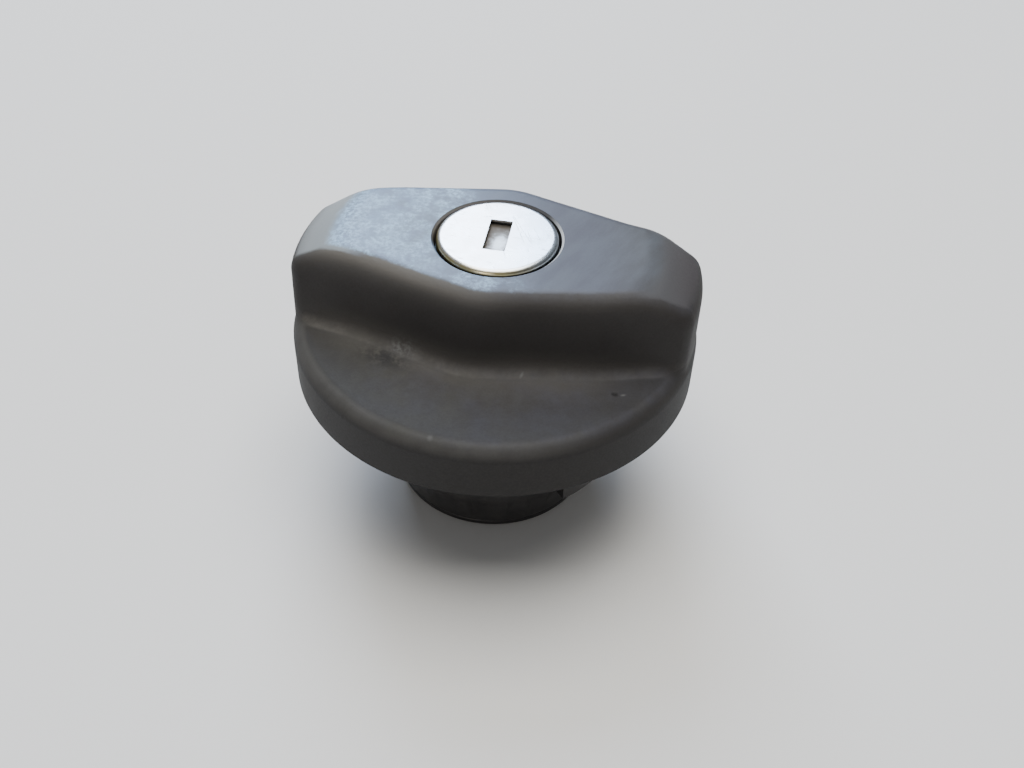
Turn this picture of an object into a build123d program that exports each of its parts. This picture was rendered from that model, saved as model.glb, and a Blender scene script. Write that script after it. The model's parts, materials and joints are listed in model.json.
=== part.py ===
"""Locking bayonet fuel filler cap, in millimetres.

The axis of the cap is +Z and the origin is the centre of its base, where it stands on a surface.
The grip runs along X. Three groups turn about Z: the bayonet body with its gasket and valves, the
moulded handle with the lock in it, and the key plug with its steel face.
"""

from build123d import *
import math
import os

# ---- driving dimensions ---------------------------------------------------------------------------
# handle, outside
TOP_Z = 52.0  # flat top of the grip
SKIRT_Z = 27.4  # lower edge of the skirt
DISC_Z, DISC_RISE = 37.3, 0.02  # disc beside the grip at the rim, and its slope towards the grip
CAP_R, SHOULDER_R = 34.8, 3.0
GRIP_FLAT_R, GRIP_FLAT_ROUND = 26.6, 10.0  # where the flat top turns down to the ends
GRIP_END_R, GRIP_END_Z, GRIP_END_ROUND = 34.4, 47.3, 4.0
GRIP_EDGE_R, GRIP_FOOT_R = 3.0, 2.6
# half outlines of the grip at its foot and at its top; the other half is the same turned 180 degrees
FOOT_HALF = [(-38.4, -2.9), (-22.9, -8.6), (-5.2, -17.3), (17.0, -16.7), (38.4, -13.6)]
TOP_HALF = [(-38.0, -0.7), (-22.0, -6.6), (-2.5, -16.2), (18.0, -15.6), (38.0, -12.7)]
OUTLINE_ROUND = [0.01, 30.0, 12.0, 40.0, 0.01]
FOOT_Z, FOOT_DEPTH, OUTLINE_TOP_Z = 36.0, 3.0, 53.0
# handle, inside
CEILING_Z, SKIRT_IN_R = 34.6, 32.3
GRIP_WALL = 3.2
POCKET_R, POCKET_END_Z, POCKET_FLAT_R, POCKET_Z = 31.9, 44.0, 26.0, 48.6
WEB_X, WEB_T, WEB_W, WEB_FOOT_Z = 23.0, 1.6, 28.0, 36.1
RIB_R, RIB_T, RIB_Z, RIB_PITCH, RIBS_A_SIDE = 27.4, 1.2, 31.2, 18.0, 7
HUB_R, HUB_Z = 15.0, 22.0
CHAMBER_R, CHAMBER_Z = 12.4, 27.2  # room for the cam below the lock housing
# lock housing and its recess
LOCK_ANGLE = -8.0  # the key slot leans this far from Y
RECESS_R, RECESS_Z, RECESS_EDGE = 10.6, 48.7, 0.35
HOUSING_R, HOUSING_Z0, HOUSING_Z1 = 9.7, 24.6, 48.5
GROOVE_DEPTH = 1.05  # wafer grooves, beyond the barrel
CLIP_Z0, CLIP_Z1, CLIP_DEPTH, CLIP_OUT, CLIP_GAP = 26.1, 27.1, 0.7, 1.9, 6.0
SEAL_Z, SEAL_T, SEAL_DEPTH, SEAL_PROUD, SEAL_EDGE = 45.0, 0.9, 0.85, 0.02, 0.2
# key plug
FACE_R, FACE_TOP_Z, FACE_SHEET, FACE_EDGE_R = 10.15, 52.4, 0.4, 1.0
FACE_INNER_EDGE = 0.6
LIP_R, LIP_Z = 9.1, 48.95  # crimped lower edge of the face
SLOT_W, SLOT_L = 3.7, 8.5
HEAD_R, HEAD_Z0, HEAD_EDGE = 9.7, 49.3, 0.65
BARREL_R, BARREL_Z0 = 6.5, 24.4
KEYWAY_W, KEYWAY_L, KEYWAY_Z = 3.3, 8.3, 29.5
TAIL, TAIL_BORE_R = 4.0, 0.8  # square that drives the cam, and the bore for its screw
# dust shutter: flap, curl and pin, with X across the slot
FLAP_TOP_Z, FLAP_T = 51.45, 0.45
FLAP_X, FLAP_Y0, FLAP_Y1, FLAP_EAR_Y = -2.2, -4.6, 3.0, 4.6
CURL_R, CURL_L, CURL_Y = 0.8, 7.6, -0.8
FLAP_PIN_X, FLAP_PIN_DROP, FLAP_PIN_R, FLAP_PIN_L = 3.15, 0.4, 0.4, 11.4
SHUTTER_ROOM_Y, SHUTTER_ROOM_DEPTH = 4.75, 4.9
TORSION_R, TORSION_WIRE, TORSION_L, TORSION_TURNS = 0.62, 0.2, 1.4, 3
# wafers
WAFER_COUNT = 6
WAFER_Z0, WAFER_PITCH, WAFER_T = 32.0, 2.0, 1.1
WAFER_W, WAFER_L, WAFER_TRAVEL = 5.0, 11.8, 0.8
WAFER_CODE = (0.5, 0.1, 0.35, 0.0, 0.45, 0.2)  # where the key cuts put each window
WINDOW_W, WINDOW_Y0, WINDOW_Y1 = 3.5, -4.2, 3.7
EAR_X, EAR_Y0, EAR_Y1 = 4.2, 1.3, 2.4
EAR_ROOM_X, EAR_ROOM_Y0, EAR_ROOM_Y1 = 4.5, -3.0, 3.4
WAFER_COIL_R, WAFER_COIL_WIRE, WAFER_COIL_L, WAFER_COIL_TURNS = 0.36, 0.2, 4.1, 2
WAFER_COIL_X, WAFER_COIL_Y = 3.5, -2.9
# cam, bolt and guide
CAM_Z0, CAM_Z1, CAM_R = 22.2, 24.2, 10.2
CAM_HEAD_R, CAM_HEAD_T, CAM_SCREW_R, CAM_SCREW_Z = 2.2, 0.45, 0.78, 26.6
FOLLOWER_R, FOLLOWER_AT = 1.0, 5.0
BOLT_REACH, BOLT_TRAVEL, BOLT_HEEL = 14.6, 2.5, 3.2
BOLT_W, BOLT_Z0, BOLT_Z1 = 5.0, 19.1, 21.5
GUIDE_R, GUIDE_Z0, GUIDE_Z1, CHANNEL_Y = 14.8, 17.0, 22.0, 6.0
GUIDE_SCREWS = (30.0, 150.0, 270.0)
SCREW_AT, SCREW_R, SCREW_UP = 13.7, 0.75, 1.6
SCREW_HEAD_R, SCREW_HEAD_T = 1.0, 1.3
SNAP_Z0, SNAP_Z1, SNAP_DEPTH, SNAP_OUT, SNAP_GAP = 23.9, 24.9, 1.0, 0.9, 7.0
# bayonet body
BODY_R, NOSE_R, NOSE_Z = 19.8, 17.8, 9.5
FLANGE_R, FLANGE_Z0, FLANGE_Z1, FLANGE_EDGE = 26.6, 31.9, 34.35, 0.5
BEARING_R, BEARING_Z, SNAP_ROOM_R = 15.1, 25.2, 16.4
NOTCH_COUNT, NOTCH_R, NOTCH_W, NOTCH_Z = 12, 17.5, 5.4, 18.5
LUG_R, LUG_Z0, LUG_Z1, LUG_RISE, LUG_ROOT, RAMP_SHARE = 23.6, 10.6, 13.4, 1.4, 0.8, 0.55
LUG_ANGLES, LUG_SPAN = (-40.0, 140.0), 34.0
FLOOR_Z0, FLOOR_Z1, WELL_R = 13.2, 15.2, 15.2
VALVE_CHAMBER_R, VALVE_CHAMBER_Z = 14.0, 4.0
VENT_COUNT, VENT_AT, VENT_R = 4, 10.6, 1.5
STEM_ROOM_R, STEM_ROOM_Z = 3.2, 14.2
COVER_Z, COVER_R, COVER_EDGE = 1.8, 17.8, 0.9
COVER_PLUG_R, COVER_PLUG_T, COVER_PLUG_Z, COVER_SOCKET_Z = 14.95, 1.6, 4.1, 4.4
RECESS_IN_R, RECESS_OUT_R, RECESS_DEPTH = 10.2, 13.0, 0.5  # ring pressed into the cover's face
GASKET_R, GASKET_Z0, GASKET_LIP_R0, GASKET_LIP_R1, GASKET_EDGE = 26.2, 29.2, 21.8, 25.0, 0.5
# valves
SEAT_R, SEAT_WALL, SEAT_Z = 6.0, 1.4, 3.4
CARRIER_R, CARRIER_Z0, CARRIER_Z1 = 9.0, 4.25, 5.6
SLEEVE_R, SLEEVE_Z, CARRIER_RIM_R, CARRIER_RIM_Z = 2.6, 7.0, 7.9, 6.3
AIR_HOLES, AIR_HOLE_AT, AIR_HOLE_R = 4, 3.35, 0.55
PRESSURE_SEAL_R0, PRESSURE_SEAL_R1 = 4.7, 8.6
PRESSURE_COIL_R, PRESSURE_WIRE, VACUUM_COIL_R, VACUUM_WIRE, VALVE_TURNS = 6.8, 0.8, 1.85, 0.35, 3.5
STEM_R, STEM_TOP_Z, VACUUM_R, VACUUM_T = 1.2, 10.6, 4.3, 0.9
STEM_CLIP_R, STEM_CLIP_Z0, STEM_CLIP_Z1 = 2.5, 9.8, 10.3
# fits
RUN = 0.05  # radial running clearance
SIDE = 0.1  # clearance beside pieces that slide or sit in a pocket
TOUCH = 0.02
BITE = 0.1  # how deep joined shapes run into each other
PAST = 1.0  # how far a cut runs past the face it opens
# ---------------------------------------------------------------------------------------------------

UP = (Align.CENTER, Align.CENTER, Align.MIN)
HEAD_Z1 = FACE_TOP_Z - FACE_SHEET - RUN
FLAP_PIN_Z = FLAP_TOP_Z - FLAP_PIN_DROP


def cylinder(radius, z0, z1):
    """Round bar on the axis from z0 to z1."""
    return Pos(0, 0, z0) * Cylinder(radius, z1 - z0, align=UP)


def ring(inner, outer, z0, z1):
    """Plain ring on the axis."""
    return cylinder(outer, z0, z1) - cylinder(inner, z0 - PAST, z1 + PAST)


def box(x0, x1, y0, y1, z0, z1):
    """Block between two corners."""
    size = (x1 - x0, y1 - y0, z1 - z0)
    middle = ((x0 + x1) / 2, (y0 + y1) / 2, (z0 + z1) / 2)
    return Pos(*middle) * Box(*size)


def turned(points, rounds=None, closed=False):
    """Solid of revolution from a half section (radius, z); an open one starts and ends on the axis."""
    rounds = rounds or [0.0] * (len(points) if closed else len(points) - 2)
    with BuildSketch(Plane.XZ) as section:
        with BuildLine():
            FilletPolyline(*points, radius=rounds, close=closed)
            if not closed:
                Line(points[-1], points[0])
        make_face()
    # the seam of the revolved faces lies on Y, clear of the grip's ends
    return Rot(0, 0, 90) * revolve(section.sketch, axis=Axis.Z)


def around(count, shape, start=0.0):
    """The shape repeated evenly about the axis."""
    return [Rot(0, 0, start + 360 / count * index) * shape for index in range(count)]


def in_lock(shape):
    """Turns a piece drawn with the key slot along Y to the lock's own angle."""
    return Rot(0, 0, LOCK_ANGLE) * shape


def along_slot(radius, length, x, y, z):
    """Round bar along the key slot, about its middle."""
    return Pos(x, y, z) * Rot(90, 0, 0) * Cylinder(radius, length)


def coil(radius, wire, z0, z1, turns):
    """Spring of square wire with its ends at z0 and z1."""
    path = Helix((z1 - z0 - wire) / turns, z1 - z0 - wire, radius)
    start = Pos(radius, 0, 0) * Rot(90, 0, 0) * Rectangle(wire, wire)
    return Pos(0, 0, z0 + wire / 2) * sweep(start, path=path, is_frenet=True)


# ---- handle ---------------------------------------------------------------------------------------
def grip_outline(half, z, inset=0.0):
    """Face of the grip's outline, alike under a half turn."""
    points = half + [(-x, -y) for x, y in half]
    with BuildSketch(Plane.XY.offset(z)) as outline:
        with BuildLine():
            FilletPolyline(*points, radius=OUTLINE_ROUND * 2, close=True)
        make_face()
        if inset:
            offset(amount=-inset)
    return outline.sketch.face()


def mid_radius(edge):
    middle = edge @ 0.5
    return math.hypot(middle.X, middle.Y)


def heights(edge):
    """Lowest and highest point of an edge."""
    reach = edge.bounding_box()
    return reach.min.Z, reach.max.Z


def on_a_circle(edge):
    """Whether an edge runs level at one distance from the axis."""
    low, high = heights(edge)
    radii = [math.hypot((edge @ place).X, (edge @ place).Y) for place in (0, 0.5, 1)]
    return high - low < 0.01 and max(radii) - min(radii) < 0.01


def in_turn(face):
    """Outer edges of a face, in the order of their direction from the axis."""
    return sorted(face.outer_wire().edges(), key=lambda edge: math.atan2((edge @ 0.5).Y, (edge @ 0.5).X))


def grip():
    """Drafted S-shaped grip, turned down at its ends, with every upper edge rounded."""
    foot, head = grip_outline(FOOT_HALF, FOOT_Z), grip_outline(TOP_HALF, OUTLINE_TOP_Z)
    walls = [Face.make_surface_from_curves(low, high) for low, high in zip(in_turn(foot), in_turn(head))]
    sides = Solid(Shell(walls + [foot, head])) + extrude(foot, amount=-FOOT_DEPTH)
    base_z = FOOT_Z - 2 * FOOT_DEPTH
    crown = turned(
        [(0, base_z), (GRIP_END_R, base_z), (GRIP_END_R, GRIP_END_Z), (GRIP_FLAT_R, TOP_Z), (0, TOP_Z)],
        [0, GRIP_END_ROUND, GRIP_FLAT_ROUND],
    )
    form = (sides & crown).solids()[0]
    edges = []
    for edge in form.edges():
        low, high = heights(edge)
        side_seam = high - low > 8 and mid_radius(edge) < GRIP_END_R - 0.3
        if high > FOOT_Z + 0.1 and not side_seam and not on_a_circle(edge):
            edges.append(edge)
    return fillet(edges, GRIP_EDGE_R)


def outer_form():
    """Disc and skirt with the grip on it, and a rounded foot all the way round the grip."""
    middle_z = DISC_Z + CAP_R * DISC_RISE
    disc = turned([(0, SKIRT_Z), (CAP_R, SKIRT_Z), (CAP_R, DISC_Z), (0, middle_z)], [0, SHOULDER_R])
    form = disc + grip()
    edges = []
    for edge in form.edges():
        low, high = heights(edge)
        shoulder_ring = on_a_circle(edge) and edge.length > 30
        disc_seam = abs((edge @ 0.5).X) < 0.01
        at_foot = high < DISC_Z + 6 and low > DISC_Z - SHOULDER_R - 0.5
        if at_foot and not shoulder_ring and not disc_seam:
            edges.append(edge)
    return fillet(edges, GRIP_FOOT_R)


def grip_pocket():
    """Space under the top of the grip, with a web across each end."""
    envelope = turned(
        [(0, FOOT_Z - FOOT_DEPTH), (POCKET_R, FOOT_Z - FOOT_DEPTH), (POCKET_R, POCKET_END_Z),
         (POCKET_FLAT_R, POCKET_Z), (0, POCKET_Z)]
    )
    pocket = extrude(grip_outline(TOP_HALF, CEILING_Z - PAST, GRIP_WALL), amount=TOP_Z - CEILING_Z) & envelope
    for x in (-WEB_X, WEB_X):
        pocket -= box(x - WEB_T / 2, x + WEB_T / 2, -WEB_W / 2, WEB_W / 2, WEB_FOOT_Z, TOP_Z)
    return pocket


def cap_shell():
    """One moulding: hollow grip, ribbed skirt, lock bore and the hub that the body turns on."""
    shell = outer_form()
    shell -= ring(HUB_R - PAST, SKIRT_IN_R, SKIRT_Z - PAST, CEILING_Z)
    shell -= grip_pocket() - cylinder(HUB_R, SKIRT_Z, TOP_Z)
    shell += cylinder(HUB_R, HUB_Z, CEILING_Z + PAST)
    rib = box(RIB_R, SKIRT_IN_R + BITE, -RIB_T / 2, RIB_T / 2, RIB_Z, CEILING_Z + BITE)
    for side in (90, 270):
        for step in range(RIBS_A_SIDE):
            shell += Rot(0, 0, side + RIB_PITCH * (step - RIBS_A_SIDE // 2)) * rib
    shell -= cylinder(RECESS_R, RECESS_Z, TOP_Z + PAST)
    shell -= cylinder(HOUSING_R + RUN, HUB_Z - PAST, TOP_Z)
    shell -= cylinder(CHAMBER_R, HUB_Z - PAST, CHAMBER_Z)
    shell -= ring(HUB_R - SNAP_DEPTH - SIDE, HUB_R + PAST, SNAP_Z0 - SIDE, SNAP_Z1 + SIDE)
    for angle in GUIDE_SCREWS:
        shell -= Rot(0, 0, angle) * Pos(SCREW_AT, 0, 0) * cylinder(SCREW_R, HUB_Z - PAST, HUB_Z + SCREW_UP)
    mouth = [e for e in shell.edges().filter_by(GeomType.CIRCLE) if abs(e.radius - RECESS_R) < 0.01]
    return chamfer([e for e in mouth if (e @ 0).Z > TOP_Z - 0.01], RECESS_EDGE)


def open_ring(inner, outer, z0, z1, gap, angle):
    """Spring ring with a gap that faces the given way."""
    cut = box(0, outer + PAST, -gap / 2, gap / 2, z0 - PAST, z1 + PAST)
    return ring(inner, outer, z0, z1) - Rot(0, 0, angle) * cut


def snap_ring():
    """Spring ring in the hub's groove, which keeps the hub in the body."""
    return open_ring(HUB_R - SNAP_DEPTH, HUB_R + SNAP_OUT, SNAP_Z0, SNAP_Z1, SNAP_GAP, 0)


def bolt_guide():
    """Plate under the hub, with the channel that the bolt slides in."""
    plate = cylinder(GUIDE_R, GUIDE_Z0, GUIDE_Z1)
    half = BOLT_W / 2 + SIDE
    plate -= box(-half, half, -CHANNEL_Y, GUIDE_R + PAST, BOLT_Z0 - SIDE, GUIDE_Z1 + PAST)
    plate -= cylinder(CAM_HEAD_R + 4 * SIDE, BOLT_Z1, GUIDE_Z1 + PAST)
    for angle in GUIDE_SCREWS:
        hole = cylinder(SCREW_R + 3 * RUN, GUIDE_Z0 - PAST, GUIDE_Z1 + PAST)
        hole += cylinder(SCREW_HEAD_R, GUIDE_Z0 - PAST, GUIDE_Z0 + SCREW_HEAD_T)
        plate -= Rot(0, 0, angle) * Pos(SCREW_AT, 0, 0) * hole
    return plate


def guide_screws():
    """Three self-tapping screws up into the hub."""
    screw = cylinder(SCREW_HEAD_R - RUN, GUIDE_Z0 + SIDE, GUIDE_Z0 + SCREW_HEAD_T - SIDE)
    screw += cylinder(SCREW_R - TOUCH, GUIDE_Z0 + SCREW_HEAD_T / 2, HUB_Z + SCREW_UP - SIDE)
    return [Rot(0, 0, angle) * Pos(SCREW_AT, 0, 0) * screw for angle in GUIDE_SCREWS]


# ---- lock -----------------------------------------------------------------------------------------
def lock_housing():
    """Die-cast sleeve with four wafer grooves down its bore and grooves for its clip and seal."""
    sleeve = ring(BARREL_R + RUN, HOUSING_R, HOUSING_Z0, HOUSING_Z1)
    half = WAFER_W / 2 + 2 * SIDE
    bars = box(-half, half, -HOUSING_R, HOUSING_R, WAFER_Z0 - PAST, HOUSING_Z1 + PAST)
    grooves = bars + Rot(0, 0, 90) * bars
    sleeve -= grooves & cylinder(BARREL_R + GROOVE_DEPTH, WAFER_Z0 - PAST, HOUSING_Z1 + PAST)
    sleeve -= ring(HOUSING_R - CLIP_DEPTH - SIDE, HOUSING_R + PAST, CLIP_Z0 - RUN, CLIP_Z1 + RUN)
    seal_half = SEAL_T / 2 + RUN
    sleeve -= ring(HOUSING_R - SEAL_DEPTH - RUN, HOUSING_R + PAST, SEAL_Z - seal_half, SEAL_Z + seal_half)
    return in_lock(sleeve)


def housing_clip():
    """Circlip in the hub's chamber, which holds the lock housing down."""
    return open_ring(HOUSING_R - CLIP_DEPTH, HOUSING_R + CLIP_OUT, CLIP_Z0, CLIP_Z1, CLIP_GAP, 90)


def housing_seal():
    """Rubber ring that keeps water out between the housing and the grip."""
    inner, outer, half = HOUSING_R - SEAL_DEPTH, HOUSING_R + SEAL_PROUD, SEAL_T / 2
    return turned(
        [(inner, SEAL_Z - half), (outer - SEAL_EDGE, SEAL_Z - half), (outer, SEAL_Z - half + SEAL_EDGE),
         (outer, SEAL_Z + half - SEAL_EDGE), (outer - SEAL_EDGE, SEAL_Z + half), (inner, SEAL_Z + half)],
        closed=True,
    )


def lock_face():
    """Pressed steel face with a rolled rim, crimped under the head of the key plug."""
    bore, under, floor_z = FACE_R - FACE_SHEET, FACE_TOP_Z - FACE_SHEET, HEAD_Z0 - RUN
    step = FACE_INNER_EDGE
    face = turned([(0, LIP_Z), (FACE_R, LIP_Z), (FACE_R, FACE_TOP_Z), (0, FACE_TOP_Z)], [0, FACE_EDGE_R])
    face -= cylinder(LIP_R, LIP_Z - PAST, HEAD_Z0)
    face -= turned([(0, floor_z), (bore, floor_z), (bore, under - step), (bore - step, under), (0, under)])
    half_w, half_l = SLOT_W / 2, SLOT_L / 2
    return in_lock(face - box(-half_w, half_w, -half_l, half_l, HEAD_Z1 - PAST, FACE_TOP_Z + PAST))


def wafer_slot(index, z0, z1):
    """Room for one wafer and its spring in the barrel, along Y."""
    half = WAFER_W / 2 + SIDE
    slot = box(-half, half, -BARREL_R - PAST, BARREL_R + PAST, z0, z1)
    room = box(0, EAR_ROOM_X, EAR_ROOM_Y0, EAR_ROOM_Y1, z0, z1)
    return slot + Rot(0, 0, 180 * (index % 2)) * room


def key_barrel():
    """Die-cast key plug: head, wafer-slotted barrel, keyway, shutter recess and square tail."""
    head = cylinder(HEAD_R, HEAD_Z0, HEAD_Z1)
    head = chamfer(head.edges().filter_by(GeomType.CIRCLE).sort_by(Axis.Z)[-1], HEAD_EDGE)
    plug = head + cylinder(BARREL_R, BARREL_Z0, HEAD_Z0 + BITE)
    plug += box(-TAIL / 2, TAIL / 2, -TAIL / 2, TAIL / 2, CAM_Z0 + RUN, BARREL_Z0 + BITE)
    plug -= box(-KEYWAY_W / 2, KEYWAY_W / 2, -KEYWAY_L / 2, KEYWAY_L / 2, KEYWAY_Z, HEAD_Z1 + PAST)
    room, top = SHUTTER_ROOM_Y, HEAD_Z1 + PAST
    plug -= box(FLAP_X - SIDE, FLAP_PIN_X + 0.45, -room, room, HEAD_Z0 - SHUTTER_ROOM_DEPTH, top)
    plug -= box(FLAP_PIN_X, FLAP_PIN_X + CURL_R + 2 * SIDE, -room, room, HEAD_Z0, top)
    seat, seat_y = FLAP_PIN_R + SIDE, FLAP_PIN_L / 2 + SIDE
    plug -= box(FLAP_PIN_X - seat, FLAP_PIN_X + seat, -seat_y, seat_y, FLAP_PIN_Z - seat, top)
    for index in range(WAFER_COUNT):
        z0 = WAFER_Z0 + index * WAFER_PITCH - SIDE
        plug -= wafer_slot(index, z0, z0 + WAFER_T + 2 * SIDE)
    plug -= cylinder(TAIL_BORE_R, CAM_Z0 - PAST, CAM_SCREW_Z + 3 * SIDE)
    return in_lock(plug)


def wafer(index):
    """Brass plate with a key window and an ear for its spring."""
    z0 = WAFER_Z0 + index * WAFER_PITCH
    z1, shift = z0 + WAFER_T, WAFER_CODE[index]
    plate = box(-WAFER_W / 2, WAFER_W / 2, -WAFER_L / 2, WAFER_L / 2, z0, z1)
    plate += box(0, EAR_X, EAR_Y0, EAR_Y1, z0, z1)
    plate &= cylinder(BARREL_R - TOUCH, z0 - PAST, z1 + PAST)
    plate -= box(-WINDOW_W / 2, WINDOW_W / 2, WINDOW_Y0 + shift, WINDOW_Y1 + shift, z0 - PAST, z1 + PAST)
    return in_lock(Rot(0, 0, 180 * (index % 2)) * plate)


def wafer_springs(first):
    """Coil springs behind the ears of every other wafer, from the first one named."""
    spring = Rot(-90, 0, 0) * coil(WAFER_COIL_R, WAFER_COIL_WIRE, 0, WAFER_COIL_L, WAFER_COIL_TURNS)
    levels = [WAFER_Z0 + index * WAFER_PITCH + WAFER_T / 2 for index in range(first, WAFER_COUNT, 2)]
    return [in_lock(Rot(0, 0, 180 * first) * Pos(WAFER_COIL_X, WAFER_COIL_Y, z) * spring) for z in levels]


def shutter_flap():
    """Steel dust flap under the slot, curled round its pin on the long side."""
    under = FLAP_TOP_Z - FLAP_T
    flap = box(FLAP_X, FLAP_PIN_X, FLAP_Y0, FLAP_Y1, under, FLAP_TOP_Z)
    flap += box(FLAP_X, FLAP_PIN_X - PAST, FLAP_Y0, FLAP_EAR_Y, under, FLAP_TOP_Z)
    flap += along_slot(CURL_R, CURL_L, FLAP_PIN_X, CURL_Y, FLAP_PIN_Z)
    return in_lock(flap - along_slot(FLAP_PIN_R + RUN, 2 * FLAP_PIN_L, FLAP_PIN_X, 0, FLAP_PIN_Z))


def shutter_pin():
    """Straight pin through the head, along the slot."""
    return in_lock(along_slot(FLAP_PIN_R, FLAP_PIN_L, FLAP_PIN_X, 0, FLAP_PIN_Z))


def shutter_spring():
    """Torsion spring on the pin that holds the flap shut."""
    turns = coil(TORSION_R, TORSION_WIRE, 0, TORSION_L, TORSION_TURNS)
    return in_lock(Pos(FLAP_PIN_X, FLAP_EAR_Y, FLAP_PIN_Z) * Rot(90, 0, 0) * turns)


def cam_disc():
    """Driver on the plug's tail; its spiral slot moves the bolt evenly as the key turns."""
    socket = (TAIL + SIDE) / 2
    disc = cylinder(CAM_R, CAM_Z0, CAM_Z1)
    disc -= in_lock(box(-socket, socket, -socket, socket, CAM_Z0, CAM_Z1 + PAST))
    per_rad = BOLT_TRAVEL / (math.pi / 2)
    half = FOLLOWER_R + SIDE
    spare = 1.25 * FOLLOWER_R / FOLLOWER_AT
    steps = 8
    walls = {-1: [], 1: []}
    for step in range(steps + 1):
        turn = -spare + (math.pi / 2 + 2 * spare) * step / steps
        radius, angle = FOLLOWER_AT + per_rad * turn, math.pi / 2 + turn
        slope = math.atan2(per_rad, radius)
        for side in walls:
            x = radius * math.cos(angle) + side * half * math.cos(angle - slope)
            y = radius * math.sin(angle) + side * half * math.sin(angle - slope)
            walls[side].append((x, y))
    with BuildSketch(Plane.XY.offset(CAM_Z0 - PAST)) as slot:
        with BuildLine():
            Spline(*walls[1])
            Line(walls[1][-1], walls[-1][-1])
            Spline(*walls[-1])
            Line(walls[-1][0], walls[1][0])
        make_face()
    return disc - extrude(slot.sketch, amount=CAM_Z1 - CAM_Z0 + 2 * PAST)


def cam_screw():
    """Pan-head screw that holds the driver on the plug's tail."""
    return cylinder(CAM_HEAD_R, CAM_Z0 - CAM_HEAD_T, CAM_Z0) + cylinder(CAM_SCREW_R, CAM_Z0 - BITE, CAM_SCREW_Z)


def lock_bolt():
    """Sliding bolt with its follower pin; it runs out along +Y into a notch of the body."""
    bar = box(-BOLT_W / 2, BOLT_W / 2, -BOLT_HEEL, BOLT_REACH, BOLT_Z0, BOLT_Z1)
    bar &= cylinder(BOLT_REACH, BOLT_Z0, BOLT_Z1)
    return bar + Pos(0, FOLLOWER_AT, 0) * cylinder(FOLLOWER_R, BOLT_Z1 - BITE, CAM_Z1 - SIDE)


# ---- bayonet body ---------------------------------------------------------------------------------
def bayonet_lug(angle):
    """Lug with a ramped upper face that pulls the cap down as it turns."""
    low, high = math.radians(-LUG_SPAN / 2), math.radians(LUG_SPAN / 2)
    inner, top = BODY_R - LUG_ROOT, LUG_Z1 + LUG_RISE
    corners = [(r * math.cos(a), r * math.sin(a)) for r, a in
               ((inner, low), (LUG_R, low), (LUG_R, high), (inner, high))]
    with BuildSketch(Plane.XY.offset(LUG_Z0)) as plan:
        with BuildLine():
            Line(corners[0], corners[1])
            ThreePointArc(corners[1], (LUG_R, 0), corners[2])
            Line(corners[2], corners[3])
            ThreePointArc(corners[3], (inner, 0), corners[0])
        make_face()
    lug = extrude(plan.sketch, amount=top - LUG_Z0)
    reach = LUG_R * math.sin(high)
    start, end = -reach - PAST, reach + PAST
    with BuildSketch(Plane.YZ) as ramp:
        with BuildLine():
            Polyline(
                (start, LUG_Z1), (reach * RAMP_SHARE, top), (end, top),
                (end, top + PAST), (start, top + PAST), (start, LUG_Z1),
            )
        make_face()
    return Rot(0, 0, angle) * (lug - extrude(ramp.sketch, amount=LUG_R + PAST))


def bayonet_body():
    """Moulded plug: flange, bearing for the hub, ring of notches, valve chamber and two lugs."""
    body = turned(
        [(0, COVER_Z), (NOSE_R, COVER_Z), (BODY_R, NOSE_Z), (BODY_R, FLANGE_Z0), (FLANGE_R, FLANGE_Z0),
         (FLANGE_R, FLANGE_Z1), (0, FLANGE_Z1)]
    )
    rims = body.edges().filter_by(GeomType.CIRCLE).filter_by(lambda e: abs(e.radius - FLANGE_R) < 0.01)
    body = chamfer(rims, FLANGE_EDGE)
    body -= cylinder(BEARING_R, BEARING_Z - PAST, FLANGE_Z1 + PAST)
    body -= cylinder(SNAP_ROOM_R, HUB_Z + 2 * SIDE, BEARING_Z)
    body -= cylinder(WELL_R, FLOOR_Z1, HUB_Z + PAST)
    notch = box(0, NOTCH_R, -NOTCH_W / 2, NOTCH_W / 2, NOTCH_Z, HUB_Z + PAST)
    for cut in around(NOTCH_COUNT, notch & cylinder(NOTCH_R, NOTCH_Z, HUB_Z + PAST)):
        body -= cut
    body -= cylinder(VALVE_CHAMBER_R, VALVE_CHAMBER_Z, FLOOR_Z0)
    body -= cylinder(COVER_PLUG_R + RUN, COVER_Z - PAST, COVER_SOCKET_Z)
    for vent in around(VENT_COUNT, Pos(VENT_AT, 0, 0) * cylinder(VENT_R, FLOOR_Z0 - PAST, FLOOR_Z1 + PAST), 45):
        body -= vent
    body -= cylinder(STEM_ROOM_R, FLOOR_Z0 - BITE, STEM_ROOM_Z)
    for angle in LUG_ANGLES:
        body += bayonet_lug(angle)
    return body


def gasket():
    """Rubber sealing ring under the flange, with a raised sealing lip."""
    inner, edge = BODY_R + RUN, GASKET_EDGE
    return turned(
        [(inner, GASKET_Z0 + edge), (GASKET_LIP_R0 - edge, GASKET_Z0 + edge), (GASKET_LIP_R0, GASKET_Z0),
         (GASKET_LIP_R1, GASKET_Z0), (GASKET_R, GASKET_Z0 + 2 * edge), (GASKET_R, FLANGE_Z0),
         (inner + edge, FLANGE_Z0), (inner, FLANGE_Z0 - edge)],
        closed=True,
    )


def valve_cover():
    """End cover that the cap stands on, with the seat of the pressure valve in its middle."""
    cover = cylinder(COVER_R, 0, COVER_Z)
    cover = chamfer(cover.edges().filter_by(GeomType.CIRCLE).sort_by(Axis.Z)[0], COVER_EDGE)
    cover += ring(COVER_PLUG_R - COVER_PLUG_T, COVER_PLUG_R, COVER_Z - BITE, COVER_PLUG_Z)
    cover += cylinder(SEAT_R + SEAT_WALL, COVER_Z - BITE, SEAT_Z)
    cover -= cylinder(SEAT_R, -PAST, SEAT_Z + PAST)
    return cover - ring(RECESS_IN_R, RECESS_OUT_R, -PAST, RECESS_DEPTH)


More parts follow.
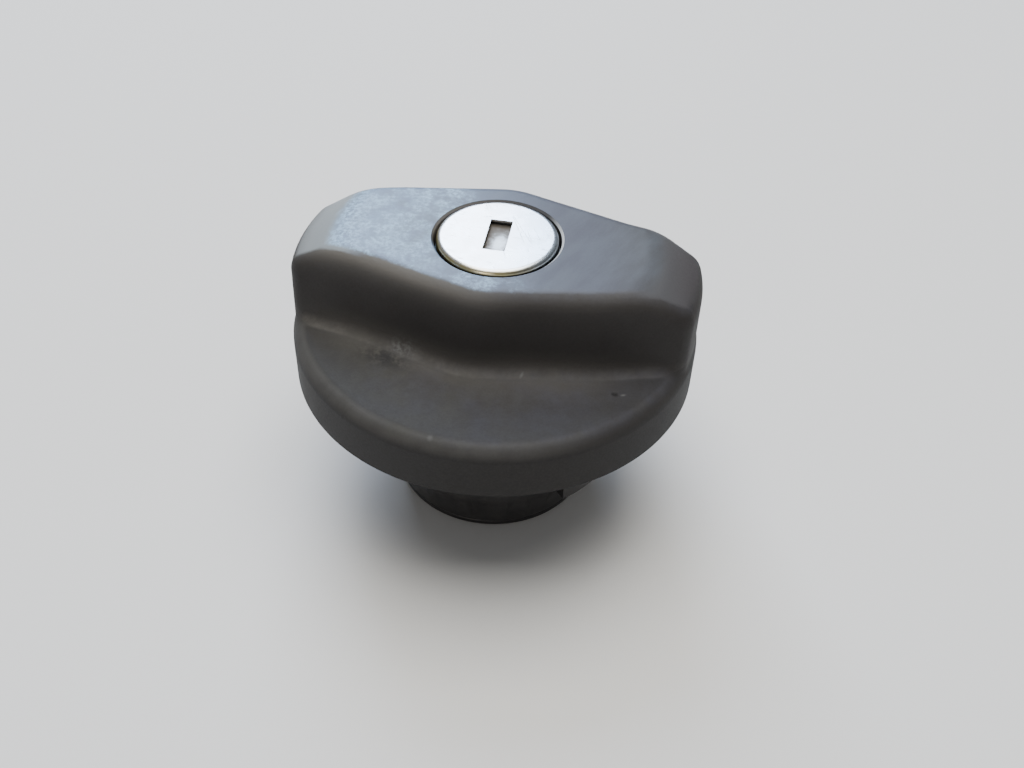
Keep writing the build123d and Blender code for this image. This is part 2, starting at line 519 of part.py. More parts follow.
def valve_carrier():
    """Disc of the pressure valve, with a sleeve for the vacuum valve's stem and four air holes."""
    carrier = cylinder(CARRIER_R, CARRIER_Z0, CARRIER_Z1) + cylinder(SLEEVE_R, CARRIER_Z1 - BITE, SLEEVE_Z)
    carrier += ring(CARRIER_RIM_R, CARRIER_R, CARRIER_Z1 - BITE, CARRIER_RIM_Z)
    carrier -= cylinder(STEM_R + RUN, 0, STEM_TOP_Z)
    for hole in around(AIR_HOLES, Pos(AIR_HOLE_AT, 0, 0) * cylinder(AIR_HOLE_R, 0, SLEEVE_Z - PAST)):
        carrier -= hole
    return carrier


def pressure_seal():
    """Rubber ring under the carrier, just off its seat."""
    return ring(PRESSURE_SEAL_R0, PRESSURE_SEAL_R1, SEAT_Z + RUN, CARRIER_Z0)


def pressure_spring():
    """Spring that holds the pressure valve down on its seat."""
    return coil(PRESSURE_COIL_R, PRESSURE_WIRE, CARRIER_Z1 + TOUCH, FLOOR_Z0 - TOUCH, VALVE_TURNS)


def vacuum_disc():
    """Inner valve: a disc below the carrier on a stem that its spring pulls up."""
    top = CARRIER_Z0 - RUN
    return cylinder(VACUUM_R, top - VACUUM_T, top) + cylinder(STEM_R, top - BITE, STEM_TOP_Z)


def vacuum_spring():
    """Light spring that pulls the vacuum valve up."""
    return coil(VACUUM_COIL_R, VACUUM_WIRE, SLEEVE_Z + TOUCH, STEM_CLIP_Z0 - TOUCH, VALVE_TURNS)


def stem_clip():
    """Washer on the stem, which the light spring pushes up."""
    return ring(STEM_R, STEM_CLIP_R, STEM_CLIP_Z0, STEM_CLIP_Z1)


PIECES = {
    "cap_shell": cap_shell,
    "snap_ring": snap_ring,
    "bolt_guide": bolt_guide,
    "guide_screws": guide_screws,
    "lock_housing": lock_housing,
    "housing_clip": housing_clip,
    "housing_seal": housing_seal,
    "lock_face": lock_face,
    "key_barrel": key_barrel,
    "shutter_flap": shutter_flap,
    "shutter_pin": shutter_pin,
    "shutter_spring": shutter_spring,
    "wafer_springs_front": lambda: wafer_springs(0),
    "wafer_springs_back": lambda: wafer_springs(1),
    "cam_disc": cam_disc,
    "cam_screw": cam_screw,
    "lock_bolt": lock_bolt,
    "bayonet_body": bayonet_body,
    "gasket": gasket,
    "valve_cover": valve_cover,
    "valve_carrier": valve_carrier,
    "pressure_seal": pressure_seal,
    "pressure_spring": pressure_spring,
    "vacuum_disc": vacuum_disc,
    "vacuum_spring": vacuum_spring,
    "stem_clip": stem_clip,
}
for number in range(WAFER_COUNT):
    PIECES[f"wafer_{number + 1}"] = lambda index=number: wafer(index)

os.makedirs("parts", exist_ok=True)
for name, make in PIECES.items():
    made = make()
    solids = made if isinstance(made, list) else [made]
    export_step(Compound([solid for piece in solids for solid in piece.solids()]), f"parts/{name}.step")
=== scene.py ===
"""Finishes, wear, stand and light for a locking fuel filler cap.

Sizes are in millimetres, turned to metres by MM. The axis of the cap is +Z and it stands on z = 0.
"""

import bmesh
import bpy
import json
import math
from mathutils import Matrix, Vector
from types import SimpleNamespace


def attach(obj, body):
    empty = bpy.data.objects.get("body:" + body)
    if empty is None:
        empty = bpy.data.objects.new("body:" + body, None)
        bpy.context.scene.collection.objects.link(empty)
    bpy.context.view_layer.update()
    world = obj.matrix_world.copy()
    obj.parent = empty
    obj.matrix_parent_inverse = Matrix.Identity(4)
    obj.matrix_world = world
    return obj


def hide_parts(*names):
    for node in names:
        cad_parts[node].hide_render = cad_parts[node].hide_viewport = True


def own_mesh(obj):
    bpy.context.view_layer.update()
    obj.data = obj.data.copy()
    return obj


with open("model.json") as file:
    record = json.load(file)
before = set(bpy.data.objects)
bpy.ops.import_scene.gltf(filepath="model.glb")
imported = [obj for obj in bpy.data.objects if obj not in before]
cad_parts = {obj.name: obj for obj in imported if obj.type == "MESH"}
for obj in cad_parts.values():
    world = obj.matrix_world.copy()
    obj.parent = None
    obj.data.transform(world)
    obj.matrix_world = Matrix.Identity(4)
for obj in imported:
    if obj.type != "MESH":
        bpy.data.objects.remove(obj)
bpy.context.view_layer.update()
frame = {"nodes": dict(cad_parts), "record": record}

MM = 0.001
GRIP_TOP = 52.0
DISC_TOP, DISC_R, DISC_RISE = 37.3, 34.8, 0.02  # at the rim, and its slope towards the grip
FACE_TOP = 52.4
SHUTTER_TOP = 51.4
MOUTH_R = 11.0  # the lock's recess in the crown
LOCK_ANGLE = math.radians(-8.0)
GRAIN = 0.4  # mould grain is nearer 0.1; at this size it shows
CLOUDY = {"Detail": 5.0, "Roughness": 0.6}  # noise with soft edges and small breaks in them

CREASE = math.radians(32)  # sharper corners than this stay crisp
FLAT = math.radians(0.4)  # triangles that meet flatter than this are one face
SAME_POINT = 0.001  # corners closer than this are one
ROUNDED = {"cap_shell": 0.25, "bayonet_body": 0.25, "valve_cover": 0.15}  # radii of outside corners


# ---- small helpers ------------------------------------------------------------------------------
def srgb(colour):
    """Linear colour of an sRGB hex value such as "#8a8a8a"."""
    parts = [int(colour[i:i + 2], 16) / 255 for i in (1, 3, 5)]
    linear = [c / 12.92 if c <= 0.04045 else ((c + 0.055) / 1.055) ** 2.4 for c in parts]
    return (*linear, 1.0)


def per_metre(millimetres):
    """Scale of a pattern whose features are this long."""
    return 1 / (millimetres * MM)


def wire(tree, node, *values, **named):
    """Fills a node's live inputs in turn, or by name with _ for a space; a socket is linked."""
    live = [socket for socket in node.inputs if socket.enabled]
    pairs = list(zip(live, values))
    pairs += [(node.inputs[name.replace("_", " ")], value) for name, value in named.items()]
    for socket, value in pairs:
        if isinstance(value, bpy.types.NodeSocket):
            tree.links.new(value, socket)
        else:
            socket.default_value = value


def add(tree, kind, *values, **named):
    """Adds a shader node and gives its first live output.

    Names with a capital are its inputs and the others are its settings.
    """
    node = tree.nodes.new("ShaderNode" + kind)
    for name in [name for name in named if name.islower()]:
        setattr(node, name, named.pop(name))
    wire(tree, node, *values, **named)
    return next(socket for socket in node.outputs if socket.enabled)


# ---- masks, patterns and layers -----------------------------------------------------------------
def mask(tree, *factors, by="MULTIPLY"):
    """Its factors multiplied, or joined another way: masks, numbers, and limits with a smooth step.

    A limit is a value, where its step starts and ends, and what it gives there if not 0 and 1.
    """
    result = None
    for factor in factors:
        if isinstance(factor, tuple):
            factor = add(tree, "MapRange", *factor, interpolation_type="SMOOTHSTEP")
        result = factor if result is None else add(tree, "Math", result, factor, operation=by)
    return result


def films(tree, colour, *layers):
    """A colour with films laid over it in turn: each the factors of its mask, and its colour."""
    for *factors, over in layers:
        shades = [srgb(shade) if isinstance(shade, str) else shade for shade in (colour, over)]
        colour = add(tree, "Mix", mask(tree, *factors), *shades, data_type="RGBA")
    return colour


def height(tree, *layers):
    """Bump normal from pairs of a mask and its height in millimetres, below zero for a hollow."""
    below = {}
    for raised, rise in layers:
        below["Normal"] = add(tree, "Bump", Height=raised, Distance=abs(rise) * MM, Strength=1.0,
                              invert=rise < 0, **below)
    return below["Normal"]


def places(tree):
    """Where the surface is, how far from the axis, and its normal's y and z."""
    source = add(tree, "TexCoord").node.outputs
    place = source["Object"]
    x, y, z = add(tree, "SeparateXYZ", place).node.outputs
    level = add(tree, "VectorMath", place, (1.0, 1.0, 0.0), operation="MULTIPLY")
    radius = add(tree, "VectorMath", level, operation="LENGTH")
    facing = add(tree, "SeparateXYZ", source["Normal"]).node.outputs
    return SimpleNamespace(place=place, x=x, y=y, z=z, radius=radius,
                           backward=facing["Y"], upward=facing["Z"])


def spot(tree, place, centre, reach, squash=(1.0, 1.0, 1.0), turn=0.0):
    """Soft mask round a point, 1 at its centre and 0 at its reach."""
    moved = add(tree, "Mapping", Vector=place, Location=[c * MM for c in centre],
                Rotation=(0.0, 0.0, math.radians(turn)), Scale=squash, vector_type="TEXTURE")
    distance = add(tree, "VectorMath", moved, operation="LENGTH")
    return mask(tree, (distance, 0.0, reach * MM, 1.0, 0.0))


def hairlines(tree, place, spacing, width, angle):
    """Fine straight scratches across Z: thin cell borders of a pattern drawn out, and broken up.

    Real ones are about 0.01 wide, and are drawn wider to show.
    """
    drawn_out = add(tree, "Mapping", Vector=place, Rotation=(0.0, 0.0, angle),
                    Scale=(1.0, 14.0, 14.0), vector_type="TEXTURE")
    border = add(tree, "TexVoronoi", Vector=drawn_out, Scale=per_metre(spacing),
                 feature="DISTANCE_TO_EDGE")
    breaks = add(tree, "TexNoise", Vector=place, Scale=per_metre(spacing * 2.5), Detail=3.0)
    return mask(tree, (border, 0.0, width / spacing, 1.0, 0.0), (breaks, 0.52, 0.62))


def finish(name):
    """New material, and its tree and surface shader."""
    material = bpy.data.materials.new(name)
    material.use_nodes = True
    tree = material.node_tree
    return material, tree, tree.nodes["Principled BSDF"]


# ---- plastics and rubber ------------------------------------------------------------------------
def crown(tree, at, colour):
    """Sun-bleached crown of the grip, with painted sheen and painted light and shade on it.

    Gives its colour, where it is bleached and given painted sheen, and where it is chalky.
    """
    # bleached covers both sun-bleach and painted light: the level top's sheen, the lit left end,
    # the shaded right end and a highlight on the back rounding
    on_crown = mask(tree, (at.z, (GRIP_TOP - 6.0) * MM, (GRIP_TOP - 2.5) * MM))
    level = mask(tree, (at.upward, 0.9, 0.99))
    beyond = mask(tree, (at.x, -26 * MM, -20 * MM, 1.0, 0.0), (at.x, 20 * MM, 26 * MM),
                  by="MAXIMUM")
    outward = mask(tree, (at.upward, 0.5, 0.8), (at.backward, -0.35, -0.1))
    ends = mask(tree, beyond, mask(tree, (at.upward, 0.76, 0.86), outward, by="MAXIMUM"))
    back = mask(tree, (at.backward, 0.05, 0.25), (at.upward, 0.3, 0.75))
    bleached = mask(tree, mask(tree, ends, back, level, by="MAXIMUM"), on_crown)

    # painted light on the front edge's rounding: palest at the top, and more so on the left, as a
    # larger rounding would catch it
    near_top = add(tree, "MapRange", at.z, (GRIP_TOP - 7.5) * MM, (GRIP_TOP - 1.0) * MM)
    edge = mask(tree, near_top, near_top, near_top, (at.backward, -0.2, 0.1, 1.0, 0.0),
                (at.x, -16 * MM, 6 * MM, 0.75, 0.18))

    # what the sun left, with painted sheen: palest in the middle left and fading to the right like
    # a sheen, in slanting streaks; the left end painted lit, the right end painted shaded, and the
    # back rounding given a painted rim highlight
    slanting = add(tree, "Mapping", Vector=at.place, Rotation=(0.0, 0.0, math.radians(-35)),
                   Scale=(1.0, 3.5, 1.0), vector_type="TEXTURE")
    streaks = add(tree, "TexNoise", Vector=slanting, Scale=per_metre(3.0), **CLOUDY)
    left_end = films(tree, "#7c8082", ((at.x, -34 * MM, -25 * MM), "#80878b"))
    right_end = films(tree, "#454547", ((at.x, 25 * MM, 34 * MM), "#383435"))
    end = films(tree, left_end, ((at.x, -5 * MM, 5 * MM), right_end))
    sloping = mask(tree, beyond, (at.upward, 0.9, 0.99, 1.0, 0.0))
    pale = films(
        tree, "#3e404b",
        ((at.x, -24 * MM, 14 * MM, 1.0, 0.0), "#637691"),
        ((at.x, 13 * MM, 27 * MM), "#3a3b3e"),
        ((streaks, 0.35, 0.7, 0.0, 0.25), "#59636e"),
        (sloping, end),
    )

    # the mouth of the lock's recess at the lower right: rubbed by keys, with a painted highlight
    # along its edge
    across = add(tree, "Math", at.x, 0.85, operation="MULTIPLY")
    along = add(tree, "Math", at.y, 0.55, operation="MULTIPLY")
    aside = add(tree, "Math", across, along, operation="SUBTRACT")
    mouth = mask(tree, (at.upward, 0.3, 0.6),
                 (at.radius, MOUTH_R * MM, (MOUTH_R + 0.8) * MM, 1.0, 0.0))
    rubbed = mask(tree, mouth, (at.upward, 0.85, 0.97, 1.0, 0.0), (aside, 3.0 * MM, 9.0 * MM))

    # chalk in patches on the left, on the front, and in a fold across the left end
    front = spot(tree, at.place, (-3.0, -11.5, GRIP_TOP), 13.0, (1.0, 0.4, 1.0), -20)
    left = mask(tree, spot(tree, at.place, (-19.0, 2.0, GRIP_TOP), 19.0),
                spot(tree, at.place, (-11.5, 10.0, GRIP_TOP), 10.0), mask(tree, front, 0.4),
                by="MAXIMUM")
    patches = add(tree, "TexNoise", Vector=at.place, Scale=per_metre(3.2), **CLOUDY)
    crumbs = add(tree, "TexNoise", Vector=at.place, Scale=per_metre(0.7),
                 Detail=6.0, Roughness=0.75)
    crumbs = mask(tree, (crumbs, 0.4, 0.62))
    thick = add(tree, "Math", mask(tree, crumbs, 0.75), 0.25, operation="ADD")
    fold = mask(tree, (at.x, -26.8 * MM, -25.6 * MM), (at.x, -24.5 * MM, -19.0 * MM, 1.0, 0.0),
                crumbs)
    chalk = mask(tree, (patches, 0.36, 0.62), thick, (left, 0.0, 0.5))
    chalk = mask(tree, mask(tree, chalk, fold, by="MAXIMUM"), on_crown, (at.upward, 0.88, 0.97))

    # finger grease towards the lock, and one dark spot
    grease = mask(tree, spot(tree, at.place, (-12.5, 2.0, GRIP_TOP), 7.0, (0.8, 1.3, 1.0), -30),
                  (streaks, 0.4, 0.62), level, on_crown)
    smears = mask(tree, grease, spot(tree, at.place, (-16.4, 8.9, GRIP_TOP), 1.6), by="MAXIMUM")

    colour = films(
        tree, colour,
        (edge, "#66635f"),
        (bleached, pale),
        (rubbed, "#b4b8ba"),
        (chalk, 0.9, "#9bbbd7"),
        (smears, 0.45, "#4f565c"),
    )
    return colour, bleached, chalk


def disc(tree, at, colour):
    """Marks, painted shade and painted light on the disc; gives its colour and where its pit is."""
    inward = add(tree, "Math", DISC_R * MM, at.radius, operation="SUBTRACT")
    slope = add(tree, "Math", inward, DISC_RISE, operation="MULTIPLY")
    levelled = add(tree, "Math", at.z, slope, operation="SUBTRACT")
    above = add(tree, "Math", levelled, DISC_TOP * MM, operation="SUBTRACT")

    # a line of dust in the foot of the grip, and painted light in a soft band round it, which
    # lightens the disc where the grip shades it
    patchy = add(tree, "TexNoise", Vector=at.place, Scale=per_metre(3.0),
                 Detail=6.0, Roughness=0.65)
    foot = mask(tree, (above, 0.0, 0.15 * MM), (above, 0.4 * MM, 1.8 * MM, 1.0, 0.0),
                (patchy, 0.35, 0.65, 0.25, 1.0), (at.x, -25 * MM, 30 * MM, 1.0, 0.3))
    occlusion = add(tree, "AmbientOcclusion", Distance=9.0 * MM, samples=8, only_local=True)
    open_air = occlusion.node.outputs["AO"]
    painted_fill = mask(tree, (open_air, 0.55, 0.97, 1.0, 0.0), (at.z, 36.5 * MM, 37.0 * MM),
                (above, 1.0 * MM, 6.5 * MM, 1.0, 0.0), (at.x, 10 * MM, 28 * MM, 1.0, 0.3))

    # painted shade darkens the level disc towards its rim, and a painted highlight lightens the
    # rounding beyond, more on the left, broken up by a noise
    on_disc = mask(tree, (at.z, 33.0 * MM, 35.0 * MM), (above, 0.0, 0.3 * MM, 1.0, 0.0))
    painted_shading = mask(tree, on_disc, (at.radius, 22 * MM, 33 * MM), (at.upward, 0.9, 0.99))
    drift = add(tree, "TexNoise", Vector=at.place, Scale=per_metre(3.5), Detail=5.0)
    rounding = mask(tree, on_disc, (at.upward, 0.05, 0.6), (at.upward, 0.86, 0.98, 1.0, 0.0),
                    (drift, 0.3, 0.7, 0.6, 1.0), (at.x, 0.0, 22 * MM, 1.0, 0.25))

    # a smudge, a painted highlight as a pale streak on the foot, three nicks and a pit
    smeared = add(tree, "TexNoise", Vector=at.place, Scale=per_metre(1.6), **CLOUDY)
    smudge = mask(tree, spot(tree, at.place, (-17.8, -14.6, 37.6), 7.5, (1.0, 0.5, 1.0), -28),
                  (smeared, 0.34, 0.6))
    glint_breakup = add(tree, "TexNoise", Vector=at.place, Scale=per_metre(0.7),
                  Detail=5.0, Roughness=0.65)
    foot_glint = mask(tree, spot(tree, at.place, (-15.0, -12.9, 37.9), 4.5, (1.0, 0.4, 1.0), -27),
                  (glint_breakup, 0.38, 0.7))
    front_nick = mask(tree, spot(tree, at.place, (-9.0, -32.0, 37.0), 0.7), 0.5)
    nicks_and_glint = mask(tree, spot(tree, at.place, (4.7, -18.0, 37.9), 0.9, (0.4, 1.0, 1.0), -25),
                 spot(tree, at.place, (20.9, -21.3, 37.6), 0.7, (1.0, 0.5, 1.0), math.degrees(0.3)),
                 front_nick, foot_glint, by="MAXIMUM")
    pit = spot(tree, at.place, (19.6, -21.1, 37.6), 0.7)

    colour = films(
        tree, colour,
        (foot, 0.45, "#5e5b57"),
        (painted_fill, 0.75, "#56534f"),
        (painted_shading, 0.6, "#1c1b1c"),
        (rounding, 0.7, "#42413f"),
        (smudge, 0.85, "#17171a"),
        (nicks_and_glint, 0.5, "#6b6c6b"),
        (pit, "#121111"),
    )
    return colour, pit


def handle_plastic():
    """Glass-filled nylon from a spark-eroded mould: charcoal, finely grained, with a soft sheen.

    The sun has bleached its top, and fine dust lies on what is level; painted sheen, painted
    highlights and painted shade are laid on it too.
    """
    material, tree, shader = finish("glass_filled_nylon_worn")
    at = places(tree)
    broad = add(tree, "TexNoise", Vector=at.place, Scale=per_metre(13.0), Detail=3.0)
    middling = add(tree, "TexNoise", Vector=at.place, Scale=per_metre(2.4), **CLOUDY)
    fine = add(tree, "TexNoise", Vector=at.place, Scale=per_metre(GRAIN), Detail=3.0, Roughness=0.7)

    # painted shade: the skirt's walls below the shoulder are made darker than the rest
    skirt_shade = mask(tree, (at.z, 34.5 * MM, 36.5 * MM, 1.0, 0.0), (at.upward, 0.1, 0.5, 1.0, 0.0))
    # the dust is warmer on the left, and is rubbed off in patches
    wandering = add(tree, "TexNoise", Vector=at.place, Scale=per_metre(5.0), Detail=4.0)
    cool = mask(tree, (at.x, -26 * MM, 12 * MM), (wandering, 0.3, 0.7, -0.35, 0.35), by="ADD")
    dust = mask(tree, (at.upward, 0.4, 0.97), (middling, 0.3, 0.7, 0.5, 1.0),
                (broad, 0.25, 0.75, 0.9, 1.0))
    colour = films(
        tree, "#201d1c",
        ((broad, 0.3, 0.7), "#272423"),
        (skirt_shade, 0.8, "#171515"),
        (dust, films(tree, "#31302b", (cool, "#303037"))),
    )
    colour, bleached, chalk = crown(tree, at, colour)
    colour, pit = disc(tree, at, colour)

    polished = mask(tree, bleached, (at.x, -10 * MM, 20 * MM, 0.28, 0.14))
    rough = mask(tree, (fine, 0.2, 0.8, 0.66, 0.76), polished, by="SUBTRACT")
    rough = mask(tree, rough, mask(tree, chalk, 0.1), by="ADD")
    normal = height(tree, (fine, 0.02), (middling, 0.02), (pit, -0.3), (chalk, 0.012))
    wire(tree, shader, Base_Color=colour, Roughness=rough, Normal=normal,
         Specular_IOR_Level=0.35, IOR=1.53)
    return material


def plug_plastic():
    """Acetal from a polished mould: near black and smooth.

    Turning in the filler neck has rubbed rings and streaks on it, under a film of dust.
    """
    material, tree, shader = finish("acetal_black")
    at = places(tree)
    steepness = add(tree, "Math", at.upward, operation="ABSOLUTE")
    wall = mask(tree, (steepness, 0.3, 0.7, 1.0, 0.0))
    flow = add(tree, "TexNoise", Vector=at.place, Scale=per_metre(9.0), Detail=3.0, Distortion=0.8)
    fine = add(tree, "TexNoise", Vector=at.place, Scale=per_metre(0.5), Detail=3.0)
    round_axis = add(tree, "Mapping", Vector=at.place, Scale=(45.0, 45.0, 1.0),
                     vector_type="TEXTURE")
    # rubbed rings are finer than this, and are drawn at 0.4 to show
    rings = add(tree, "TexNoise", Vector=round_axis, Scale=per_metre(0.4), Detail=3.0)
    touched = add(tree, "TexNoise", Vector=at.place, Scale=per_metre(6.0), Detail=4.0)
    rubbed = mask(tree, wall, (rings, 0.52, 0.75), (touched, 0.4, 0.65))
    upright = add(tree, "Mapping", Vector=at.place, Scale=(1.0, 1.0, 12.0), vector_type="TEXTURE")
    drips = add(tree, "TexNoise", Vector=upright, Scale=per_metre(0.7), Detail=4.0)
    wetted = add(tree, "TexNoise", Vector=at.place, Scale=per_metre(8.0))
    streaks = mask(tree, wall, (drips, 0.55, 0.8), (wetted, 0.45, 0.7))
    drift = add(tree, "TexNoise", Vector=at.place, Scale=per_metre(4.0), Detail=4.0)
    dust = mask(tree, (drift, 0.3, 0.75), (at.z, 0.0, 30 * MM, 0.9, 0.4))
    colour = films(
        tree, "#191819",
        ((flow, 0.3, 0.7), "#201f20"),
        (dust, 0.22, "#4b4743"),
        (rubbed, 0.3, "#454545"),
        (streaks, 0.2, "#4c4b49"),
    )
    rough = mask(tree, (flow, 0.2, 0.8, 0.33, 0.42), mask(tree, rubbed, 0.14), by="ADD")
    normal = height(tree, (fine, 0.01), (rubbed, -0.004))
    wire(tree, shader, Base_Color=colour, Roughness=rough, Normal=normal, IOR=1.48)
    return material


def seal_rubber():
    """Nitrile rubber, pressed: soft black with a faint bloom."""
    material, tree, shader = finish("nitrile_rubber")
    at = places(tree)
    bloom = add(tree, "TexNoise", Vector=at.place, Scale=per_metre(4.0), **CLOUDY)
    fine = add(tree, "TexNoise", Vector=at.place, Scale=per_metre(GRAIN))
    colour = films(tree, "#161617", ((bloom, 0.4, 0.75), "#2b2a2a"))
    rough = mask(tree, (bloom, 0.2, 0.8, 0.62, 0.8))
    normal = height(tree, (fine, 0.02))
    wire(tree, shader, Base_Color=colour, Roughness=rough, Normal=normal, IOR=1.52)
    return material


# ---- metals -------------------------------------------------------------------------------------
def face_steel():
    """Stainless sheet, satin finished: a broad soft sheen with hairline scratches.

    Its rim is worn to brass tones on one side, with a painted beige reflection there, and carries a
    painted dark reflection on the other.
    """
    material, tree, shader = finish("stainless_satin_worn")
    at = places(tree)
    smoke = add(tree, "TexNoise", Vector=at.place, Scale=per_metre(3.0), **CLOUDY)
    dark_reflection_breakup = add(tree, "TexNoise", Vector=at.place, Scale=per_metre(2.5), Detail=3.0)
    waves = add(tree, "TexNoise", Vector=at.place, Scale=per_metre(2.2))
    rim = mask(tree, (at.upward, 0.6, 0.99, 1.0, 0.0))
    leftward = add(tree, "Math", at.x, 0.75, operation="MULTIPLY")
    leftward = add(tree, "Math", leftward, at.y, operation="ADD")
    rightward = add(tree, "Math", at.y, 0.4, operation="MULTIPLY")
    rightward = add(tree, "Math", at.x, rightward, operation="SUBTRACT")
    # lower left of the rim: brass-toned wear with a painted beige reflection; lower right: a
    # painted dark reflection
    worn = mask(tree, rim, (leftward, -7.5 * MM, 1.0 * MM, 1.0, 0.0), (smoke, 0.3, 0.6, 0.5, 1.0))
    rim_dark_reflection = mask(tree, rim, (rightward, 2 * MM, 9 * MM), (dark_reflection_breakup, 0.2, 0.6, 0.6, 1.0))
    # the face's right gets a painted bluish sky reflection, and its sides get painted shade as they
    # drop into the gap round it
    colour = films(
        tree, "#f0f2f4",
        ((smoke, 0.3, 0.7), "#fafafa"),
        ((at.x, -3 * MM, 9 * MM, 0.0, 0.75), "#cddff0"),
        (worn, "#d2c48f"),
        (rim_dark_reflection, 0.75, "#7d7a78"),
        ((at.z, (FACE_TOP - 2.4) * MM, (FACE_TOP - 1.0) * MM, 1.0, 0.0), "#55514c"),
    )
    close = hairlines(tree, at.place, 1.1, 0.03, LOCK_ANGLE + 1.4)
    sparse = hairlines(tree, at.place, 1.7, 0.04, 0.3)
    scratches = mask(tree, mask(tree, close, sparse, by="MAXIMUM"), (at.upward, 0.96, 0.995))
    rough = mask(tree, (smoke, 0.25, 0.75, 0.24, 0.34), mask(tree, scratches, 0.15), by="ADD")
    normal = height(tree, (scratches, -0.012), (waves, 0.01))
    wire(tree, shader, Base_Color=colour, Metallic=1.0, Roughness=rough, Normal=normal)
    return material


def shutter_strip():
    """Stainless strip, stamped: a painted highlight in its middle, and painted shade in brown
    towards the slot's ends, mottled by a dust pattern.
    """
    material, tree, shader = finish("stainless_strip_dust_and_painted_light")
    at = places(tree)
    centre = (0.3, -1.2, SHUTTER_TOP)
    # painted highlight: a soft lit patch in the middle of the strip, with painted shade in brown
    # round it
    painted_shading = spot(tree, at.place, centre, 4.6, (0.55, 1.0, 1.0), math.degrees(LOCK_ANGLE))
    dust = add(tree, "TexNoise", Vector=at.place, Scale=per_metre(0.9), Detail=4.0, Roughness=0.6)
    uneven = mask(tree, painted_shading, mask(tree, dust, 0.9), by="ADD")
    painted_highlight = mask(tree, (uneven, 0.4, 1.5))
    colour = films(tree, "#5f5a54", (painted_highlight, "#b3b8bb"))
    rough = mask(tree, (painted_highlight, 0.0, 1.0, 0.62, 0.38))
    normal = height(tree, (dust, 0.02))
    wire(tree, shader, Base_Color=colour, Metallic=1.0, Roughness=rough, Normal=normal)
    return material


def plain_metal(name, light, dark, rough, grain=0.5, bump=0.01):
    """Bare metal with a little tarnish and a fine surface, its grain coarse enough to show."""
    material, tree, shader = finish(name)
    at = places(tree)
    tarnish = add(tree, "TexNoise", Vector=at.place, Scale=per_metre(2.5), **CLOUDY)
    fine = add(tree, "TexNoise", Vector=at.place, Scale=per_metre(grain), Detail=3.0)
    colour = films(tree, light, ((tarnish, 0.3, 0.72), dark))
    roughness = mask(tree, (fine, 0.25, 0.75, rough - 0.06, rough + 0.08))
    normal = height(tree, (fine, bump))
    wire(tree, shader, Base_Color=colour, Metallic=1.0, Roughness=roughness, Normal=normal)
    return material


FINISHES = {
    "worn_plastic": handle_plastic(),
    "black_plastic": plug_plastic(),
    "rubber": seal_rubber(),
    "face_steel": face_steel(),
    "shutter_steel": shutter_strip(),
    # hard-drawn steel, oiled: a dark, fairly sharp shine
    "spring_steel": plain_metal("spring_steel_oiled", "#8c8a87", "#6b6863", rough=0.3),
    # zinc plate over mild steel: bright and faintly yellow
    "plated_steel": plain_metal("steel_zinc_plated", "#b9b7ab", "#9b9784", rough=0.34),
    # cast zinc alloy as it leaves the die: dull grey, a little uneven
    "die_cast_zinc": plain_metal("zinc_die_cast", "#9fa2a5", "#7f8284", rough=0.48,
                                 grain=0.7, bump=0.02),
    # rolled brass, tumbled: yellow with a soft shine
    "brass_parts": plain_metal("brass_tumbled", "#cfae62", "#a68648", rough=0.32),
}


# ---- pieces -------------------------------------------------------------------------------------
def skin(name, body, slot):
    """Merged copy of a piece with smooth roundings and crisp corners, which stands for it."""
    form = bmesh.new()
    form.from_mesh(frame["nodes"][name].data)
    bmesh.ops.remove_doubles(form, verts=form.verts, dist=SAME_POINT * MM)
    if name in ROUNDED:
        bmesh.ops.dissolve_limit(form, angle_limit=FLAT, verts=form.verts, edges=form.edges)
    for face in form.faces:
        face.smooth = True
    for edge in form.edges:
        edge.smooth = not edge.is_manifold or edge.calc_face_angle() < CREASE
    mesh = bpy.data.meshes.new(name + "_skin")
    form.to_mesh(mesh)
    form.free()
    mesh.materials.clear()
    mesh.materials.append(FINISHES[slot])
    piece = bpy.data.objects.new(name + "_skin", mesh)
    bpy.context.scene.collection.objects.link(piece)
    if name in ROUNDED:
        rounding = piece.modifiers.new("rounding", "BEVEL")
        rounding.limit_method = "ANGLE"
        rounding.angle_limit = CREASE
        rounding.width = ROUNDED[name] * MM
        rounding.segments = 2
    shading = piece.modifiers.new("even_shading", "WEIGHTED_NORMAL")
    shading.keep_sharp = True
    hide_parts(name)
    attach(piece, body)
    return piece


def dress():
    """Gives every piece its skin and finish, and each valve spring, which shortens with its valve,
    a mesh of its own.
    """
    behaviour = frame["record"]["behaviour"]
    slots = {part["node"]: part["material_slot"] for part in frame["record"]["subparts"]}
    pieces = {}
    for body, members in behaviour["bodies"].items():
        for name in members:
            pieces[name] = skin(name, body, slots[name])
    for joint in behaviour["joints"]:
        for spring in joint.get("deforming_nodes", []):
            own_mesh(pieces[spring["node"]])


# ---- floor, light and camera --------------------------------------------------------------------
TABLE_REACH = 2.0  # metres each way from the cap
LIT_HEIGHT = 40.0  # the lights point here, on the axis
AIM = (3.2, 7.8, 12.3)
CAMERA_DISTANCE = 221.0
CAMERA_ELEVATION = math.radians(42.5)
CAMERA_ROLL = math.radians(2.07)
LENS, SENSOR = 40.43, 36.0  # focal length and width


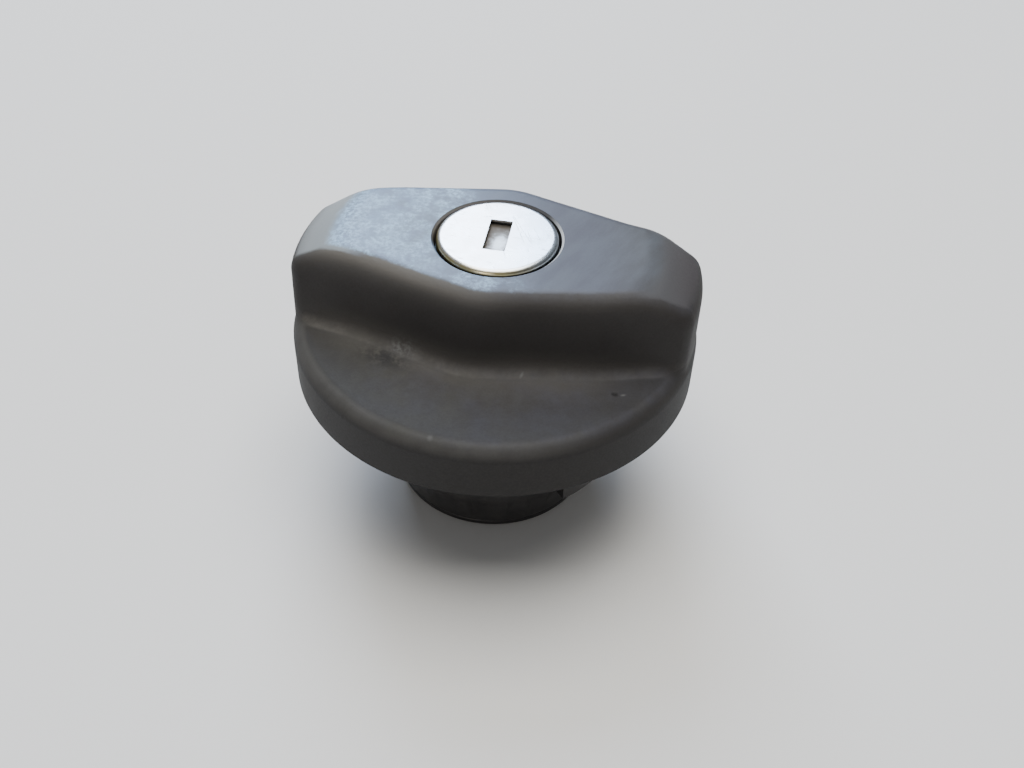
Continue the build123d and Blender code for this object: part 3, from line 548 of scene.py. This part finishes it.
def floor():
    """Plain pale tabletop."""
    form = bmesh.new()
    bmesh.ops.create_grid(form, x_segments=1, y_segments=1, size=TABLE_REACH)
    mesh = bpy.data.meshes.new("tabletop")
    form.to_mesh(mesh)
    form.free()
    material, tree, shader = finish("painted_board_pale")
    wire(tree, shader, Base_Color=srgb("#d9d8d6"), Roughness=0.75)
    mesh.materials.append(material)
    table = bpy.data.objects.new("tabletop", mesh)
    bpy.context.scene.collection.objects.link(table)


def softbox(name, azimuth, elevation, distance, size, watts, colour):
    """Square area light that faces the cap, its distance and size in metres.

    Azimuth 0 is straight behind the cap and grows to the left.
    """
    a, e = math.radians(azimuth), math.radians(elevation)
    away = Vector((-math.sin(a) * math.cos(e), math.cos(a) * math.cos(e), math.sin(e)))
    light = bpy.data.lights.new(name, "AREA")
    light.energy = watts
    light.size = size
    light.color = srgb(colour)[:3]
    lamp = bpy.data.objects.new(name, light)
    lamp.location = away * distance + Vector((0, 0, LIT_HEIGHT * MM))
    lamp.rotation_euler = away.to_track_quat("Z", "Y").to_euler()
    bpy.context.scene.collection.objects.link(lamp)


def lights():
    """Soft light from overhead, a window behind the cap, and a weak fill from the front."""
    world = bpy.data.worlds.new("studio")
    world.use_nodes = True
    tree = world.node_tree
    wire(tree, tree.nodes["Background"], Color=srgb("#e6eaef"), Strength=0.25)
    bpy.context.scene.world = world
    softbox("ceiling", 0, 86, distance=1.0, size=0.9, watts=17.0, colour="#fffdf8")
    softbox("window", 14, 42, distance=1.1, size=0.55, watts=12.2, colour="#dbe9ff")
    softbox("fill", 158, 22, distance=1.1, size=0.4, watts=1.35, colour="#fff6ec")


def camera():
    """Looks down on the cap from the front."""
    tilt = Matrix.Rotation(math.pi / 2 - CAMERA_ELEVATION, 4, "X")
    turn = tilt @ Matrix.Rotation(CAMERA_ROLL, 4, "Z")
    back = turn @ Vector((0, 0, CAMERA_DISTANCE * MM))
    data = bpy.data.cameras.new("camera")
    data.lens = LENS
    data.sensor_width = SENSOR
    data.clip_start = 1 * MM
    eye = bpy.data.objects.new("camera", data)
    eye.matrix_world = Matrix.Translation(Vector(AIM) * MM + back) @ turn
    bpy.context.scene.collection.objects.link(eye)
    bpy.context.scene.camera = eye


dress()
floor()
lights()
camera()
